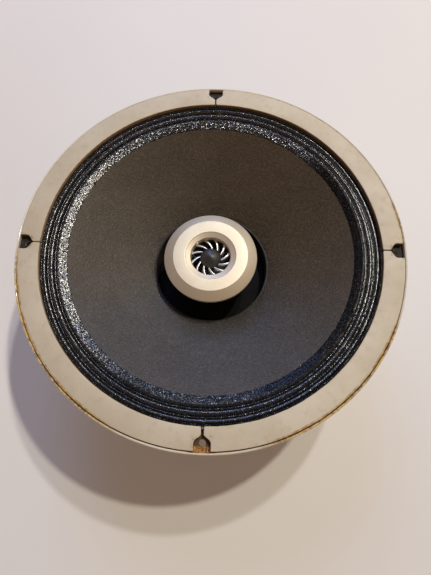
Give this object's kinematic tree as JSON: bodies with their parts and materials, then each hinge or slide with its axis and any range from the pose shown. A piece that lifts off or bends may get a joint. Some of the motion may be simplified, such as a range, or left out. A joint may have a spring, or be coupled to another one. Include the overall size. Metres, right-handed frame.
{
  "type": "loudspeaker driver",
  "caption": "Round coaxial loudspeaker driver with a paper cone, rolled cloth edge and gasketed flange, and a tweeter with a vaned mouth on its pole piece.",
  "frame": {"origin": "centre of the rear face of the rear cover, on which the driver stands", "axes": "+Z out of the front of the driver along the cone's axis, with mounting holes on +X, -X, +Y and -Y"},
  "size_m": [0.31, 0.31, 0.12],
  "materials": {
    "cream_paint": "semi-gloss cream enamel, chipped and rusty at the rim",
    "gasket_fibre": "painted fibre board with a brown cut edge",
    "doped_cloth": "woven cloth with glossy black dope",
    "cone_paper": "matt dark felted paper",
    "former_paper": "varnished paper",
    "copper_wire": "enamelled winding",
    "black_glue": "glossy black cement",
    "solder": "dull solder",
    "spider_cloth": "open weave impregnated cloth",
    "card": "bare card",
    "plated_steel": "zinc plated, dulled",
    "magnet_alloy": "ground alloy",
    "dark_steel": "plain steel, browned",
    "steel_screw": "plated, dulled",
    "black_felt": "matt black felt",
    "satin_aluminium": "turned and satin lacquered",
    "polished_aluminium": "polished vanes on a dark centre",
    "black_plastic": "moulded",
    "dome_foil": "thin coated dome",
    "black_paint": "satin black enamel",
    "brass_part": "dulled brass",
    "grommet_rubber": "matt rubber",
    "paper_board": "resin bonded paper",
    "tinned_brass": "tinned",
    "tinsel": "braided copper tinsel",
    "red_cover": "coloured sleeving",
    "black_cover": "black sleeving",
    "capacitor_wax": "waxed paper tube"
  },
  "bodies": {
    "chassis": {"chassis": "cream_paint", "flange_nuts": "dark_steel", "gasket_upper_right": "gasket_fibre", "gasket_upper_left": "gasket_fibre", "gasket_lower_left": "gasket_fibre", "gasket_lower_right": "gasket_fibre", "edge_surround": "doped_cloth", "spider": "spider_cloth", "spider_seat_ring": "card", "front_plate": "plated_steel", "pole_piece": "plated_steel", "ring_magnet": "magnet_alloy", "magnet_pot": "cream_paint", "motor_screws": "steel_screw", "damping_felt": "black_felt", "tweeter_bezel": "satin_aluminium", "tweeter_front_plate": "satin_aluminium", "phase_plug": "polished_aluminium", "tweeter_spacer": "black_plastic", "tweeter_edge": "spider_cloth", "tweeter_top_plate": "plated_steel", "tweeter_magnet": "magnet_alloy", "tweeter_yoke": "plated_steel", "tweeter_can": "black_paint", "bezel_screws": "steel_screw", "mounting_stem": "plated_steel", "stem_washer": "plated_steel", "stem_nut": "brass_part", "rear_cover": "cream_paint", "cover_screws": "steel_screw", "cable_grommet": "grommet_rubber", "tag_board": "paper_board", "solder_tags": "tinned_brass", "board_rivets": "brass_part", "tinsel_lead_a": "tinsel", "tinsel_lead_b": "tinsel", "hf_lead_positive": "red_cover", "hf_lead_negative": "black_cover", "capacitor": "capacitor_wax", "capacitor_clip": "plated_steel", "clip_screw": "steel_screw", "capacitor_wire": "tinned_brass"},
    "cone_assembly": {"paper_cone": "cone_paper", "coil_former": "former_paper", "voice_coil": "copper_wire", "neck_glue_ring": "black_glue", "lead_joints": "solder"},
    "tweeter_diaphragm": {"tweeter_dome": "dome_foil", "tweeter_coil": "copper_wire"}
  },
  "joints": [
    {"name": "cone_slide", "type": "slide", "parent": "chassis", "child": "cone_assembly", "axis": [0, 0, 1], "range_m": [-0.004, 0.004], "stiffness_N_per_m": 2500, "springref_m": 0.00022, "deforming": ["edge_surround", "spider", "tinsel_lead_a", "tinsel_lead_b"]},
    {"name": "tweeter_slide", "type": "slide", "parent": "chassis", "child": "tweeter_diaphragm", "axis": [0, 0, 1], "range_m": [-0.00025, 0.00025], "stiffness_N_per_m": 300, "deforming": ["tweeter_edge"]}
  ]
}
